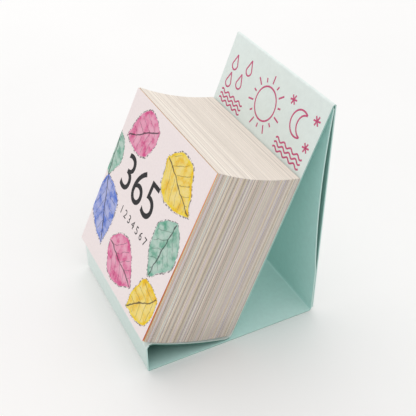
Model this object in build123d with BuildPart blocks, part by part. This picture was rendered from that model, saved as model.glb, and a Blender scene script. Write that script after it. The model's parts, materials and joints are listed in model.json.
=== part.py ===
from build123d import *
import math
import os

# Tear-off day calendar: a pad of day leaves, glued along its top edge, on an easel folded from card.
# Millimetres, +Z up, the lip faces -Y, and the origin is under the middle of the object's box.

# The card strip of the stand
card = 0.6
stand_width = 80.0
stand_height = 113.7
easel_tilt = 21.6
lip_height = 16.45

# Its folds, with radii at the middle of the card
toe_crease_radius = 0.8
heel_crease_radius = 1.8
lip_bend_radius = 2.1
foot_bend_radius = 3.8
apex_roll_radius = 0.9
ledge_sag = 1.05
foot_clearance = 0.9

# The doubled back: the outer panel closes over the bowed inner one
bow_depth = 2.0
bow_foot = 26.0
bow_blend_radius = 20.0
inner_panel_clearance = 0.2
flap_foot = 2.0
flap_clearance = 0.05

# Double-sided tape
tape = 0.1
tape_inset = 5.0
flap_tape_foot = 6.0
flap_tape_height = 17.0
pad_tape_height = 12.0
pad_tape_inset = 8.0

# The pad of leaves
sheet_inset = 0.2
sheet_height = 84.8
backing = 0.4
leaf_pitch_head = 0.113
leaf_pitch_foot = 0.125
leaf_gap_back = 2.1
leaf_gap_lip = 0.75
leaf_sag = 1.7
pad_overhang = 3.91
glue = 0.2
glue_end_gap = 0.06
hinge_inset = 0.12

# The loose front sheets
leaf = 0.12
cover = 0.25
loose_height = 84.1
loose_leaves = 2
sheet_splay = 0.2

month_days = {
    "january": 31,
    "february": 28,
    "march": 31,
    "april": 30,
    "may": 31,
    "june": 30,
    "july": 31,
    "august": 31,
    "september": 30,
    "october": 31,
    "november": 30,
    "december": 31,
}

# Widths across the stand
sheet_width = stand_width - 2 * sheet_inset
tape_width = stand_width - 2 * tape_inset

# Side view of the stand: the first coordinate runs back to zero at the outer back, the second runs up
tilt = math.radians(easel_tilt)
out = Vector(-math.cos(tilt), math.sin(tilt))
up = Vector(math.sin(tilt), math.cos(tilt))


def point_towards(start: Vector, target: Vector, distance: float) -> Vector:
    """The point at a distance from start, on the way to target."""
    return start + (target - start).normalized() * distance


def arc_about(center: Vector, start: Vector, end: Vector):
    """The short arc from start to end about a centre."""
    return ThreePointArc(start, arc_middle(center, start, end), end)


def arc_middle(center: Vector, start: Vector, end: Vector) -> Vector:
    """The middle of the short arc from start to end about a centre."""
    return point_towards(center, start + end - center, (start - center).length)


# The apex: the easel runs up to a roll of card that the outer back panel swings about
apex = Vector(-apex_roll_radius, stand_height - apex_roll_radius)
easel_head = apex + out * (apex_roll_radius - card / 2)

# The wide bend at the easel's foot sits just over the base
foot_height = card + foot_clearance + foot_bend_radius + card / 2
easel_length = (easel_head.Y + foot_bend_radius * math.sin(tilt) - foot_height) / math.cos(tilt)
easel_foot = easel_head - up * easel_length
foot_center = easel_foot + out * foot_bend_radius

# Side view of the pad: the first coordinate runs out from the easel's face, the second runs up it
foot_inner_radius = foot_bend_radius - card / 2
pad_origin = foot_center - (out + up) * foot_inner_radius
pad_back = tape + backing
block_leaves = sum(month_days.values()) - loose_leaves

# The lip stands where the pad's front leaves reach just past it
lip_out = pad_back + block_leaves * leaf_pitch_foot - pad_overhang
lip_rise = lip_height - pad_origin.Y
lip_run = (lip_out - lip_rise * out.Y) / out.X
lip_up = lip_run * up.X + lip_rise * up.Y
lip_center = Vector(pad_origin.X + lip_run, lip_height - card / 2 - lip_bend_radius)
lip_head = lip_center - Vector(lip_bend_radius, 0)

# The ledge is a shallow arc, tangent to the foot's bend and to the lip's bend
lip_start_line = lip_center - foot_center
ledge_radius = lip_start_line.length**2 / (8 * ledge_sag)
foot_reach = ledge_radius - foot_bend_radius
lip_reach = ledge_radius + lip_bend_radius
along = (foot_reach**2 - lip_reach**2 + lip_start_line.length**2) / (2 * lip_start_line.length)
across = math.sqrt(foot_reach**2 - along**2)
ledge_way = lip_start_line.normalized()
ledge_center = foot_center + ledge_way * along + Vector(ledge_way.Y, -ledge_way.X) * across
ledge_back = point_towards(ledge_center, foot_center, ledge_radius)
ledge_front = point_towards(ledge_center, lip_center, ledge_radius)

# The creases at the lip's foot and at the back of the base
toe_center = Vector(lip_head.X + toe_crease_radius, card / 2 + toe_crease_radius)
toe_start = toe_center - Vector(toe_crease_radius, 0)
toe_end = toe_center - Vector(0, toe_crease_radius)
inner_back = -card - tape - card / 2
heel_center = Vector(inner_back - heel_crease_radius, card / 2 + heel_crease_radius)
heel_start = heel_center - Vector(0, heel_crease_radius)
heel_end = heel_center + Vector(heel_crease_radius, 0)

# Each fold is shared by its two panels, which meet at its middle
foot_middle = arc_middle(foot_center, easel_foot, ledge_back)
lip_middle = arc_middle(lip_center, ledge_front, lip_head)
toe_middle = arc_middle(toe_center, toe_start, toe_end)
heel_middle = arc_middle(heel_center, heel_start, heel_end)


def leaf_line(count: int) -> tuple[Vector, Vector]:
    """Foot and head of the face that has that many leaves behind it."""
    foot_out = pad_back + count * leaf_pitch_foot
    head_out = pad_back + count * leaf_pitch_head
    share = foot_out / lip_out
    gap = leaf_gap_back + (leaf_gap_lip - leaf_gap_back) * share
    foot_up = gap + lip_up * share - 4 * leaf_sag * share * (1 - share)
    head_up = foot_up + math.sqrt(sheet_height**2 - (foot_out - head_out) ** 2)
    return Vector(foot_out, foot_up), Vector(head_out, head_up)


# The month blocks from the back of the pad to its front, as (name, leaves behind, leaves)
block_rows = []
leaves_behind = 0
for month, days in reversed(month_days.items()):
    leaves = days - loose_leaves if month == "january" else days
    block_rows.append((month, leaves_behind, leaves))
    leaves_behind += leaves

# The loose sheets from back to front, as (name, thickness, head, way down, way out)
sheet_rows = []
front_foot, front_head = leaf_line(leaves_behind)
sheet_head = front_head
lean = math.atan2(front_foot.X - front_head.X, front_head.Y - front_foot.Y)
sheet_sizes = [(f"day_sheet_{number}", leaf) for number in range(loose_leaves, 0, -1)]
for name, thickness in sheet_sizes + [("cover_sheet", cover)]:
    lean += math.radians(sheet_splay)
    down_way = Vector(math.sin(lean), -math.cos(lean))
    out_way = Vector(math.cos(lean), math.sin(lean))
    sheet_rows.append((name, thickness, sheet_head, down_way, out_way))
    sheet_head = sheet_head + out_way * thickness

# The middle of the object's depth, from the cover's lower edge to the outer back panel
cover_toe = sheet_head + down_way * loose_height
front_most = (pad_origin + out * cover_toe.X + up * cover_toe.Y).X
middle = front_most / 2
side = Plane(origin=(0, -middle, 0), x_dir=(0, 1, 0), z_dir=(1, 0, 0))
pad_side = Plane(origin=side.from_local_coords(pad_origin), x_dir=(0, out.X, out.Y), z_dir=(-1, 0, 0))

pieces = []
hinge_points = {"outer_back_panel": side.from_local_coords(apex)}

# Base: flat on the table, from the toe crease to the heel crease
with BuildPart() as base_panel:
    with BuildSketch(side):
        with BuildLine():
            arc_about(toe_center, toe_middle, toe_end)
            Line(toe_end, heel_start)
            arc_about(heel_center, heel_start, heel_middle)
        trace(line_width=card)
    extrude(amount=stand_width / 2, both=True)
base_panel.part.label = "base_panel"
pieces.append(base_panel.part)

# Lip: the short upright at the front
with BuildPart() as front_lip:
    with BuildSketch(side):
        with BuildLine():
            arc_about(lip_center, lip_middle, lip_head)
            Line(lip_head, toe_start)
            arc_about(toe_center, toe_start, toe_middle)
        trace(line_width=card)
    extrude(amount=stand_width / 2, both=True)
front_lip.part.label = "front_lip"
pieces.append(front_lip.part)

# Ledge: the sagging shelf under the pad
with BuildPart() as ledge_panel:
    with BuildSketch(side):
        with BuildLine():
            arc_about(foot_center, foot_middle, ledge_back)
            arc_about(ledge_center, ledge_back, ledge_front)
            arc_about(lip_center, ledge_front, lip_middle)
        trace(line_width=card)
    extrude(amount=stand_width / 2, both=True)
ledge_panel.part.label = "ledge_panel"
pieces.append(ledge_panel.part)

# Easel: the sloping panel that carries the pad, with the roll of the top fold along its head
with BuildPart() as easel_panel:
    with BuildSketch(side):
        with BuildLine():
            Line(easel_head, easel_foot)
            arc_about(foot_center, easel_foot, foot_middle)
        trace(line_width=card)
        with Locations(apex):
            Circle(apex_roll_radius)
    extrude(amount=stand_width / 2, both=True)
easel_panel.part.label = "easel_panel"
pieces.append(easel_panel.part)

# Inner back: upright from the base, then bowed inwards up to the roll
inner_top = apex.Y - apex_roll_radius - inner_panel_clearance
bow_chord = inner_top - bow_foot
bow_angle = 2 * math.atan2(2 * bow_depth, bow_chord)
bow_radius = bow_chord / (2 * math.sin(bow_angle))
blend_start = Vector(inner_back, bow_foot - bow_blend_radius * math.sin(bow_angle))
with BuildPart() as inner_back_panel:
    with BuildSketch(side):
        with BuildLine():
            arc_about(heel_center, heel_middle, heel_end)
            upright = Line(heel_end, blend_start)
            blend = JernArc(upright @ 1, upright % 1, bow_blend_radius, math.degrees(bow_angle))
            JernArc(blend @ 1, blend % 1, bow_radius, -2 * math.degrees(bow_angle))
        trace(line_width=card)
    extrude(amount=stand_width / 2, both=True)
inner_back_panel.part.label = "inner_back_panel"
pieces.append(inner_back_panel.part)

# Outer back: hangs from the roll and closes the stand
with BuildPart() as outer_back_panel:
    with BuildSketch(side):
        with Locations((-card, flap_foot)):
            Rectangle(card, apex.Y - flap_foot, align=Align.MIN)
        with Locations(apex):
            Circle(apex_roll_radius + flap_clearance, mode=Mode.SUBTRACT)
    extrude(amount=stand_width / 2, both=True)
outer_back_panel.part.label = "outer_back_panel"
pieces.append(outer_back_panel.part)

# Tape that holds the outer back to the inner one
with BuildPart() as flap_tape:
    with BuildSketch(side):
        with Locations((-card - tape, flap_tape_foot)):
            Rectangle(tape, flap_tape_height, align=Align.MIN)
    extrude(amount=tape_width / 2, both=True)
flap_tape.part.label = "flap_tape"
pieces.append(flap_tape.part)

# Two strips of tape that hold the pad to the easel
back_foot, back_head = leaf_line(0)
backing_foot = foot_inner_radius + leaf_gap_back
for label, strip_foot in (
    ("lower_pad_tape", backing_foot + pad_tape_inset),
    ("upper_pad_tape", back_head.Y - pad_tape_inset - pad_tape_height),
):
    with BuildPart() as pad_tape:
        with BuildSketch(pad_side):
            with Locations((0, strip_foot)):
                Rectangle(tape, pad_tape_height, align=Align.MIN)
        extrude(amount=tape_width / 2, both=True)
    pad_tape.part.label = label
    pieces.append(pad_tape.part)

# Backing card of the pad, which stops above the easel's bend
with BuildPart() as backing_sheet:
    with BuildSketch(pad_side):
        with Locations((tape, backing_foot)):
            Rectangle(backing, back_head.Y - backing_foot, align=Align.MIN)
    extrude(amount=sheet_width / 2, both=True)
backing_sheet.part.label = "backing_sheet"
pieces.append(backing_sheet.part)

# The months: a wedge of leaves each, as the leaves splay towards their feet
heel_rounding = foot_inner_radius - leaf_gap_back
for month, behind, leaves in block_rows:
    rear_foot, rear_head = leaf_line(behind)
    fore_foot, fore_head = leaf_line(behind + leaves)
    with BuildPart() as month_leaves:
        with BuildSketch(pad_side) as leaves_side:
            with BuildLine():
                Polyline(rear_foot, fore_foot, fore_head, rear_head, close=True)
            make_face()
            if behind == 0:
                rear_corner = leaves_side.vertices().sort_by_distance((rear_foot.X, rear_foot.Y, 0))[0]
                fillet(rear_corner, heel_rounding)
        extrude(amount=sheet_width / 2, both=True)
    month_leaves.part.label = f"{month}_leaves"
    pieces.append(month_leaves.part)

    # The film of binding glue over their heads, rounded about the line where the block hinges
    head_way = (fore_head - rear_head).normalized()
    head_up = Vector(-head_way.Y, head_way.X)
    hinge = rear_head + head_way * hinge_inset + head_up * (glue / 2)
    glue_bottom = hinge - head_up * (glue / 2)
    glue_top = hinge + head_up * (glue / 2)
    glue_end = fore_head - head_way * glue_end_gap
    with BuildPart() as month_glue:
        with BuildSketch(pad_side):
            with BuildLine():
                Polyline(glue_bottom, glue_end, glue_end + head_up * glue, glue_top)
                ThreePointArc(glue_top, hinge - head_way * (glue / 2), glue_bottom)
            make_face()
        extrude(amount=sheet_width / 2, both=True)
    month_glue.part.label = f"{month}_glue"
    pieces.append(month_glue.part)
    hinge_points[f"{month}_leaves"] = pad_side.from_local_coords(hinge)

# The loose sheets and the cover, each rounded along the glued edge that it lifts about
for label, thickness, head, down_way, out_way in sheet_rows:
    hinge = head + (down_way + out_way) * (thickness / 2)
    foot = head + down_way * loose_height
    with BuildPart() as sheet:
        with BuildSketch(pad_side):
            with BuildLine():
                Polyline(
                    hinge - out_way * (thickness / 2),
                    foot,
                    foot + out_way * thickness,
                    hinge + out_way * (thickness / 2),
                )
                ThreePointArc(
                    hinge + out_way * (thickness / 2),
                    hinge - down_way * (thickness / 2),
                    hinge - out_way * (thickness / 2),
                )
            make_face()
        extrude(amount=sheet_width / 2, both=True)
    sheet.part.label = label
    pieces.append(sheet.part)
    hinge_points[label] = pad_side.from_local_coords(hinge)

os.makedirs("parts", exist_ok=True)
for piece in pieces:
    export_step(piece, f"parts/{piece.label}.step")

for label, point in hinge_points.items():
    print(f"hinge of {label}: y {point.Y:.3f}, z {point.Z:.3f}")
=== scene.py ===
"""Looks of a tear-off day calendar: a folded card stand, a glued pad, a painted cover and a studio."""

import json
import logging
import math
import random
from collections.abc import Callable, Iterator
from contextlib import contextmanager
from dataclasses import dataclass
from enum import Enum

import bpy
from mathutils import Matrix, Vector


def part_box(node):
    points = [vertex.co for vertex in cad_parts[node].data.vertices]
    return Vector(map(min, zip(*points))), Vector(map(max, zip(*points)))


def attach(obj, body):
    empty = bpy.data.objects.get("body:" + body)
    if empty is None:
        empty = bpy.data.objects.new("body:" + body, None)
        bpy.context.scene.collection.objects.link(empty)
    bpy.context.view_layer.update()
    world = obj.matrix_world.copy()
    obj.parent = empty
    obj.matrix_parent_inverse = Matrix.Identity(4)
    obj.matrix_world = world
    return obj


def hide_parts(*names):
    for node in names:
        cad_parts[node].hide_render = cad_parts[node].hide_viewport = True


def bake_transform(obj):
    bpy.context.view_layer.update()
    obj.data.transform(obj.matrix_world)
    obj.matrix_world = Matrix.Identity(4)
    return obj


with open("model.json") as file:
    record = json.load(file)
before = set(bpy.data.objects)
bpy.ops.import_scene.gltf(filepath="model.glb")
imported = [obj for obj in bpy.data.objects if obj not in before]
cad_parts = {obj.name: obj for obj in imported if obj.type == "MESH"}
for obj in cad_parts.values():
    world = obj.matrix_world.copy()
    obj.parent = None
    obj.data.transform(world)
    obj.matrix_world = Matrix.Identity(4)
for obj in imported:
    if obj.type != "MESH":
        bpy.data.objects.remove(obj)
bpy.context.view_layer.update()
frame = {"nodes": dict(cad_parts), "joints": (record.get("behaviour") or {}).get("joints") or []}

log = logging.getLogger("day_calendar")

MM = 0.001
RIGHT = Vector((1, 0, 0))
Colour = tuple[float, float, float, float]

# Points nearer than this, or alike to this many decimals, are one point
SAME_PLACE = 0.001 * MM
SAME_DECIMALS = 7

# Corners of a mesh that are nearer than this are merged
WELD = 0.0005 * MM

# The least run that a slope is worked out over
LEAST_RUN = 1e-6 * MM

# A face looks some way when its normal agrees with that way by more than this
FACING = 0.7


def srgb(red: int, green: int, blue: int) -> Colour:
    """Turn a screen colour into the linear colour that shaders use.

    Args:
        red: Red, from 0 to 255.
        green: Green, from 0 to 255.
        blue: Blue, from 0 to 255.

    Returns:
        The linear colour, opaque.
    """
    shares = (channel / 255 for channel in (red, green, blue))
    linear = (s / 12.92 if s <= 0.04045 else ((s + 0.055) / 1.055) ** 2.4 for s in shares)
    return (*linear, 1.0)


def blend_colours(first: Colour, second: Colour, share: float) -> Colour:
    """Mix two colours.

    Args:
        first: The colour at share 0.
        second: The colour at share 1.
        share: How far to go from the first to the second.

    Returns:
        The mixed colour.
    """
    return tuple(a + (b - a) * share for a, b in zip(first, second))


# The bench: selection, edit mode and modifiers


class Pick(Enum):
    """What is selected in edit mode, as Blender's three select switches."""

    VERTICES = (True, False, False)
    EDGES = (False, True, False)


class Bench:
    """The steps of modelling by hand that every sub-assembly uses."""

    @staticmethod
    def clear() -> None:
        """Leave nothing selected."""
        bpy.ops.object.select_all(action="DESELECT")

    @staticmethod
    def focus(piece: bpy.types.Object) -> None:
        """Make one piece the only selected one, and the active one.

        Args:
            piece: The piece.
        """
        Bench.clear()
        piece.select_set(True)
        bpy.context.view_layer.objects.active = piece

    @staticmethod
    def added(operator: Callable, name: str, **settings: object) -> bpy.types.Object:
        """Add an object with nothing else selected.

        Args:
            operator: The operator that adds it.
            name: The object's name.
            settings: The operator's settings.

        Returns:
            The new object.
        """
        Bench.clear()
        operator(**settings)
        piece = bpy.context.active_object
        piece.name = name
        return piece

    @staticmethod
    @contextmanager
    def editing(piece: bpy.types.Object, pick: Pick, test: Callable | None = None) -> Iterator[None]:
        """Open a piece in edit mode with part of it selected.

        Args:
            piece: The mesh to open.
            pick: The kind of element that is selected.
            test: Says whether an element is selected. Everything is when it is left out.

        Yields:
            Nothing: the piece is in edit mode while the block runs.
        """
        Bench.focus(piece)
        mesh = piece.data
        bpy.context.tool_settings.mesh_select_mode = pick.value
        for element in (*mesh.vertices, *mesh.edges, *mesh.polygons):
            element.select = test is None
        if test is not None:
            rows = {Pick.VERTICES: mesh.vertices, Pick.EDGES: mesh.edges}
            for element in rows[pick]:
                element.select = test(element)
        bpy.ops.object.mode_set(mode="EDIT")
        yield
        bpy.ops.object.mode_set(mode="OBJECT")

    @staticmethod
    def apply(piece: bpy.types.Object, kind: str, **settings: object) -> None:
        """Add a modifier and apply it.

        Args:
            piece: The mesh that gets it.
            kind: Blender's name of the modifier.
            settings: Its settings.
        """
        Bench.focus(piece)
        modifier = piece.modifiers.new(kind.title(), kind)
        for name, value in settings.items():
            setattr(modifier, name, value)
        bpy.ops.object.modifier_apply(modifier=modifier.name)

    @staticmethod
    def settle(piece: bpy.types.Object) -> None:
        """Move a piece's place, turn and scale into its mesh."""
        Bench.focus(piece)
        bpy.ops.object.transform_apply(location=True, rotation=True, scale=True)

    @staticmethod
    def join(parts: list[bpy.types.Object], name: str) -> bpy.types.Object:
        """Join meshes into the first of them.

        Args:
            parts: The meshes.
            name: The joined piece's name.

        Returns:
            The joined piece.
        """
        Bench.focus(parts[0])
        for part in parts[1:]:
            part.select_set(True)
        bpy.ops.object.join()
        parts[0].name = name
        return parts[0]

    @staticmethod
    def smooth(piece: bpy.types.Object, degrees: float = 35.0) -> None:
        """Shade a piece smooth, with edges sharper than the angle left sharp."""
        Bench.focus(piece)
        bpy.ops.object.shade_smooth_by_angle(angle=math.radians(degrees))


# Where things are, read from the frame


def side_profile(node: str) -> list[Vector]:
    """Corners of a node's right-hand side, each once.

    Args:
        node: The CAD node.

    Returns:
        Points of the side view, with x left at zero.
    """
    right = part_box(node)[1].x
    found: dict[tuple[float, float], Vector] = {}
    for vertex in frame["nodes"][node].data.vertices:
        if abs(vertex.co.x - right) < SAME_PLACE:
            key = tuple(round(place, SAME_DECIMALS) for place in vertex.co.yz)
            found[key] = Vector((0, vertex.co.y, vertex.co.z))
    return list(found.values())


@dataclass(frozen=True)
class PadAxes:
    """The leaning pad's own directions: out from the easel's face, and up along it."""

    out: Vector
    up: Vector

    @classmethod
    def read(cls) -> "PadAxes":
        """Take the directions from the backing card, which lies flat on the easel.

        Returns:
            The directions.
        """
        corners = sorted(side_profile("backing_sheet"), key=lambda p: p.z)
        up = (corners[2] + corners[3] - corners[0] - corners[1]).normalized()
        return cls(out=Vector((0, -up.z, up.y)), up=up)

    @property
    def lean(self) -> float:
        """Angle between the pad and the upright."""
        return math.atan2(self.up.y, self.up.z)

    def split(self, point: Vector) -> tuple[float, float]:
        """Give a point's distances out and up."""
        return point.dot(self.out), point.dot(self.up)

    def place(self, across: float, out: float, up: float) -> Vector:
        """Give the point at these distances across, out and up."""
        return RIGHT * across + self.out * out + self.up * up


@dataclass(frozen=True)
class PrintFace:
    """A flat face that takes print: the middle of its foot, and its ways up and out."""

    foot: Vector
    up: Vector
    out: Vector

    def matrix(self, across: float, rise: float, proud: float) -> Matrix:
        """Matrix that lays a flat drawing on the face.

        Args:
            across: Where the drawing's middle goes, to the right of the face's middle.
            rise: Where it goes above the face's foot.
            proud: How far it stands off the face.

        Returns:
            The matrix from the drawing's plane to its place.
        """
        place = self.foot + RIGHT * across + self.up * rise + self.out * proud
        turn = Matrix((RIGHT, self.up, self.out)).transposed().to_4x4()
        return Matrix.Translation(place) @ turn


def stand_for(piece: bpy.types.Object, node: str, body: str) -> bpy.types.Object:
    """Let a piece stand for a CAD node.

    Args:
        piece: The piece.
        node: The node that it replaces.
        body: The body that carries it.

    Returns:
        The piece.
    """
    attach(piece, body)
    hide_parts(node)
    return piece


# Wiring of shader nodes


class EffectName(Enum):
    """The shared effects, by their node group's name."""

    FIBRE = "paper_fibre"
    WASH = "leaf_wash"
    DAY_PRINT = "day_print"


class Wiring:
    """Builds a shader node tree, with a value or a socket wherever an input goes."""

    usual_tones = (0.3, 0.7)
    node_gap = 40

    def __init__(self, tree: bpy.types.NodeTree) -> None:
        """Start on an empty tree."""
        self.tree = tree
        tree.nodes.clear()

    def node(self, kind: str, inputs: dict | None = None, **settings: object) -> bpy.types.Node:
        """Add a node.

        Args:
            kind: Blender's name of the node.
            inputs: Values or sockets, by the input's name or number.
            settings: The node's own settings.

        Returns:
            The node.
        """
        made = self.tree.nodes.new(kind)
        made.location = (len(self.tree.nodes) * self.node_gap, 0)
        for name, value in settings.items():
            setattr(made, name, value)
        for name, value in (inputs or {}).items():
            self.feed(made.inputs[name], value)
        return made

    def feed(self, socket: bpy.types.NodeSocket, value: object) -> None:
        """Link a socket into an input, or set the input to a value.

        Args:
            socket: The input.
            value: The value, or the socket that is linked into it.
        """
        if isinstance(value, bpy.types.NodeSocket):
            self.tree.links.new(value, socket)
        else:
            socket.default_value = value

    def math(
        self, operation: str, first: object, second: object = 0.0, third: object = 0.0
    ) -> bpy.types.NodeSocket:
        """Add a Math node and give its result."""
        inputs = {0: first, 1: second, 2: third}
        return self.node("ShaderNodeMath", inputs, operation=operation).outputs[0]

    def times(self, first: object, second: object) -> bpy.types.NodeSocket:
        """Multiply two values."""
        return self.math("MULTIPLY", first, second)

    def vector(self, operation: str, first: object, second: object = (0, 0, 0)) -> bpy.types.NodeSocket:
        """Add a Vector Math node and give its vector."""
        return self.node("ShaderNodeVectorMath", {0: first, 1: second}, operation=operation).outputs[0]

    def ramp(
        self, value: object, low: object, high: object, start: object = 0.0, end: object = 1.0
    ) -> bpy.types.NodeSocket:
        """Ease a value between two ends.

        Args:
            value: What is eased.
            low: Where the ease begins.
            high: Where it is done.
            start: The result up to low.
            end: The result past high.

        Returns:
            The eased value.
        """
        inputs = {"Value": value, "From Min": low, "From Max": high, "To Min": start, "To Max": end}
        made = self.node("ShaderNodeMapRange", inputs, interpolation_type="SMOOTHSTEP")
        return made.outputs["Result"]

    def toned(self, fibre: bpy.types.Node, start: float, end: float) -> bpy.types.NodeSocket:
        """Ease from start to end over the usual tones of a paper's fibre."""
        return self.ramp(fibre.outputs["Tone"], *self.usual_tones, start, end)

    def noise(self, vector: object, scale: object, detail: float = 2.0) -> bpy.types.NodeSocket:
        """Add a Noise Texture and give its value."""
        inputs = {"Vector": vector, "Scale": scale, "Detail": detail}
        return self.node("ShaderNodeTexNoise", inputs).outputs["Fac"]

    def mix(self, factor: object, first: object, second: object, blend: str = "MIX") -> bpy.types.NodeSocket:
        """Mix two colours and give the result."""
        inputs = {0: factor, 6: first, 7: second}
        return self.node("ShaderNodeMix", inputs, data_type="RGBA", blend_type=blend).outputs[2]

    def tinted(self, colour: object, shade: object) -> bpy.types.NodeSocket:
        """Multiply a colour by a shade."""
        return self.mix(1.0, colour, shade, "MULTIPLY")

    def by_object(self) -> bpy.types.NodeSocket:
        """Give the place on the object, in metres."""
        return self.node("ShaderNodeTexCoord").outputs["Object"]

    def by_leaf(self) -> bpy.types.NodeSocket:
        """Give the place on a leaf, as shares of its width and height."""
        return self.node("ShaderNodeUVMap", uv_map="leaf").outputs[0]

    def attribute(self, name: str) -> bpy.types.Node:
        """Read a colour that the mesh carries."""
        return self.node("ShaderNodeAttribute", attribute_name=name)

    def group(self, name: EffectName, inputs: dict) -> bpy.types.Node:
        """Place one of the shared effects."""
        return self.node("ShaderNodeGroup", inputs, node_tree=bpy.data.node_groups[name.value])

    def fibre(self, vector: object, scale: float) -> bpy.types.Node:
        """Place the paper fibre."""
        return self.group(EffectName.FIBRE, {"Vector": vector, "Scale": scale})


@dataclass(frozen=True)
class FibreEffect:
    """Paper fibre: a soft mottle with fine matted threads over it."""

    thread_scale: float = 5.0
    thread_twist: float = 1.6
    mottle_share: float = 0.6

    def build(self) -> None:
        """Make the node group."""
        kinds = {"Vector": "Vector", "Scale": "Float"}
        w, given = start_group(EffectName.FIBRE, kinds, {"Tone": "Float", "Height": "Float"})
        place, scale = given.outputs["Vector"], given.outputs["Scale"]
        mottle = w.noise(place, scale, 4.0)
        inputs = {"Vector": place, "Scale": w.times(scale, self.thread_scale), "Detail": 5.0}
        swirl = w.node("ShaderNodeTexNoise", inputs)
        swirl.inputs["Distortion"].default_value = self.thread_twist
        threads = swirl.outputs["Fac"]
        tone = w.math("ADD", w.times(mottle, self.mottle_share), w.times(threads, 1 - self.mottle_share))
        w.node("NodeGroupOutput", {"Tone": tone, "Height": threads})


@dataclass(frozen=True)
class WashEffect:
    """One painted leaf: a pooled wash with a broken ink outline and veins, over what is under it.

    Lengths are millimetres on the sheet, and each edge is where a mark begins and where it is full.
    """

    wobble_scale: float = 0.16
    wobble_reach: float = 3.4
    taper: float = 0.35
    least_taper: float = 0.1
    body_edge: tuple[float, float] = (0.0, 0.07)
    pool_edge: tuple[float, float] = (0.02, 0.3)
    pool_load: float = 0.22
    cloud_scale: float = 0.22
    cloud_edge: tuple[float, float] = (0.3, 0.72)
    cloud_load: tuple[float, float] = (0.7, 1.0)
    deep_edge: tuple[float, float] = (0.42, 0.7)
    grain_scale: float = 1.3
    grain_edge: tuple[float, float] = (0.25, 0.75)
    grain_load: tuple[float, float] = (0.86, 1.05)
    rib_edge: tuple[float, float] = (0.22, 0.42)
    rib_ends: tuple[float, float] = (0.1, 0.16)
    vein_slant: float = 0.8
    vein_gap: float = 2.6
    vein_edge: tuple[float, float] = (0.12, 0.3)
    vein_ends: tuple[float, float] = (0.16, 0.22)
    vein_ink: float = 0.55
    rim_edge: tuple[float, float] = (0.015, 0.05)
    dash_scale: float = 0.9
    dash_edge: tuple[float, float] = (0.47, 0.53)
    ink_share: float = 0.85

    def build(self) -> None:
        """Make the node group."""
        kinds = {
            "Under": "Color", "Place": "Vector", "Centre": "Vector", "Turn": "Float", "Length": "Float",
            "Width": "Float", "Pigment": "Color", "Deep": "Color", "Ink": "Color",
        }
        w, given = start_group(EffectName.WASH, kinds, {"Color": "Color"})
        place, centre = given.outputs["Place"], given.outputs["Centre"]
        inputs = {"Vector": place, "Scale": self.wobble_scale, "Detail": 3.0}
        wobble = w.node("ShaderNodeTexNoise", inputs).outputs["Color"]
        reach = (self.wobble_reach, self.wobble_reach, 0.0)
        drift = w.vector("MULTIPLY", w.vector("SUBTRACT", wobble, (0.5, 0.5, 0.5)), reach)
        bent = w.vector("ADD", place, drift)
        inputs = {"Vector": bent, "Center": centre, "Angle": given.outputs["Turn"]}
        turned = w.node("ShaderNodeVectorRotate", inputs, rotation_type="Z_AXIS")
        local = w.node("ShaderNodeSeparateXYZ", {0: w.vector("SUBTRACT", turned.outputs[0], centre)})
        along = w.math("DIVIDE", local.outputs[0], given.outputs["Length"])
        side = w.math("ABSOLUTE", local.outputs[1])
        across = w.math("DIVIDE", side, given.outputs["Width"])
        oval = w.math("SUBTRACT", 1.0, w.times(along, along))
        taper = w.math("MAXIMUM", w.math("SUBTRACT", 1.0, w.times(along, self.taper)), self.least_taper)
        inside = w.math("SUBTRACT", w.times(oval, taper), across)

        cloud = w.noise(bent, self.cloud_scale, 4.0)
        grain = w.noise(place, self.grain_scale, 3.0)
        pool = w.times(w.ramp(inside, *self.pool_edge, 1.0, 0.0), self.pool_load)
        load = w.math("ADD", w.ramp(cloud, *self.cloud_edge, *self.cloud_load), pool)
        load = w.times(load, w.ramp(grain, *self.grain_edge, *self.grain_load))
        strength = w.math("MINIMUM", w.times(load, w.ramp(inside, *self.body_edge)), 1.0)
        pigment = w.mix(w.ramp(cloud, *self.deep_edge), given.outputs["Pigment"], given.outputs["Deep"])
        painted = w.mix(strength, given.outputs["Under"], pigment, "MULTIPLY")

        rib = w.times(w.ramp(side, *self.rib_edge, 1.0, 0.0), w.ramp(oval, *self.rib_ends))
        climb = w.math("SUBTRACT", local.outputs[0], w.times(side, self.vein_slant))
        slant = w.math("PINGPONG", climb, self.vein_gap)
        vein = w.times(w.ramp(slant, *self.vein_edge, 1.0, 0.0), w.ramp(inside, *self.vein_ends))
        rim = w.math("SUBTRACT", 1.0, w.ramp(w.math("ABSOLUTE", inside), *self.rim_edge))
        outline = w.times(rim, w.ramp(w.noise(place, self.dash_scale, 1.0), *self.dash_edge))
        lines = w.math("MAXIMUM", w.math("MAXIMUM", rib, w.times(vein, self.vein_ink)), outline)
        drawn = w.mix(w.times(lines, self.ink_share), painted, given.outputs["Ink"])
        w.node("NodeGroupOutput", {"Color": drawn})


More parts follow.
